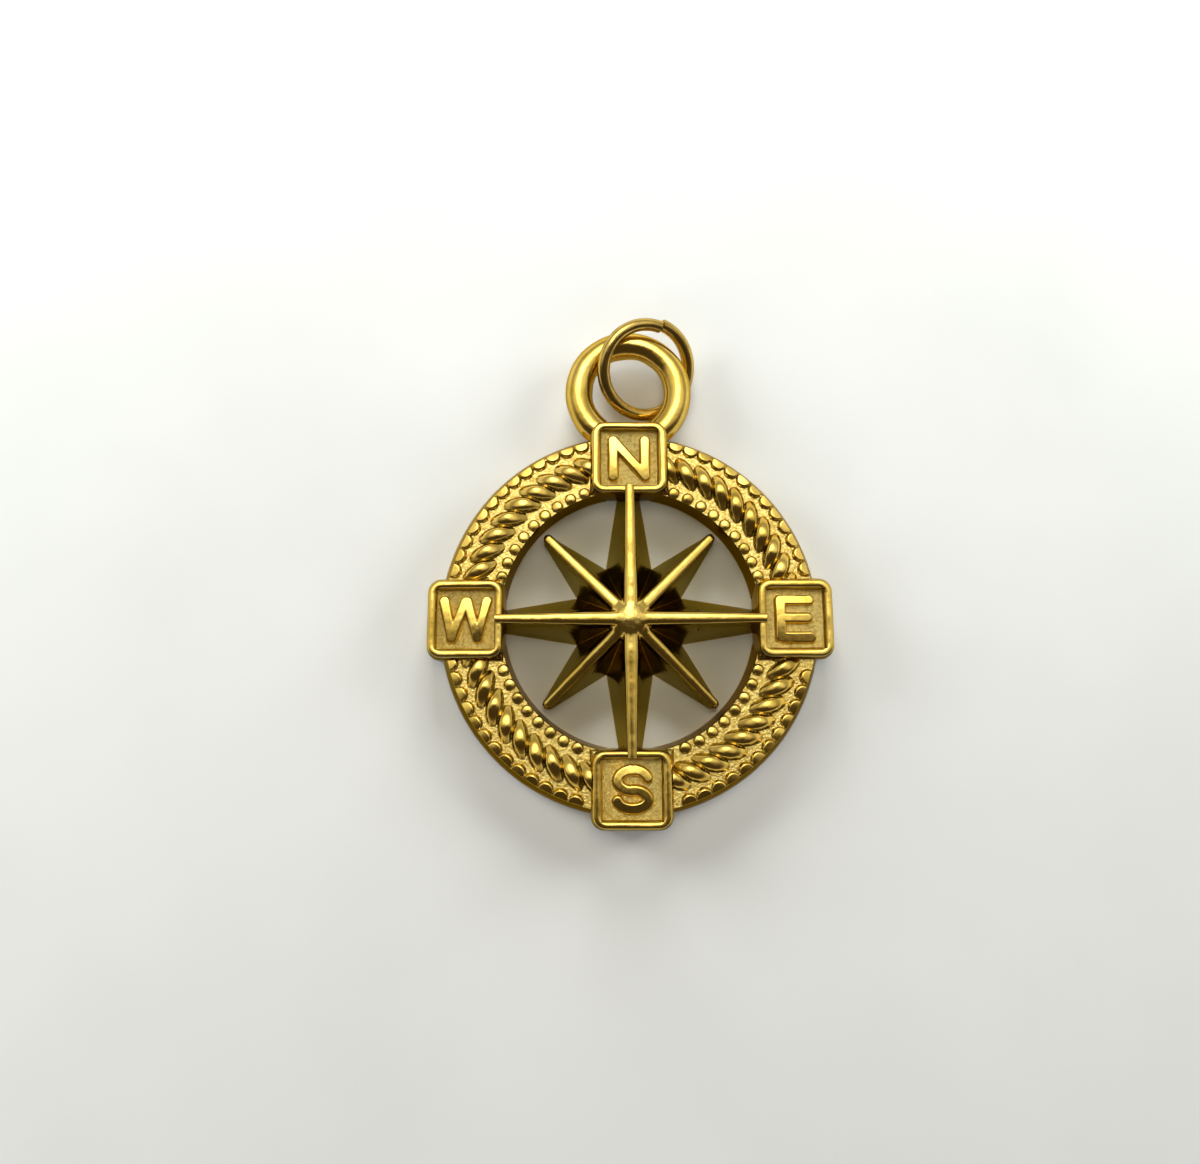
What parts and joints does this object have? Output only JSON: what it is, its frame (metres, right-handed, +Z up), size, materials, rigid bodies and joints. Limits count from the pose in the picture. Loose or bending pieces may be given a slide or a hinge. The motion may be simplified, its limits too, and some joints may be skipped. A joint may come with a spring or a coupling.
{
  "type": "compass pendant",
  "caption": "Round cast pendant with a rope and bead border, N, E, S and W plates, an openwork compass rose, a round bail and a split jump ring, lying on its flat back.",
  "frame": {"origin": "centre of the compass rose on the flat back, which lies on the table", "axes": "+Z up out of the face, +Y towards the N plate and the bail, +X towards the E plate"},
  "size_m": [0.03, 0.0383, 0.0043],
  "materials": {
    "cast_pendant": "gold plated steel, polished relief on a matte sandblasted ground",
    "jump_ring": "gold plated steel wire, polished"
  },
  "bodies": {
    "root": {"cast_pendant": "cast_pendant", "jump_ring": "jump_ring"}
  },
  "joints": []
}
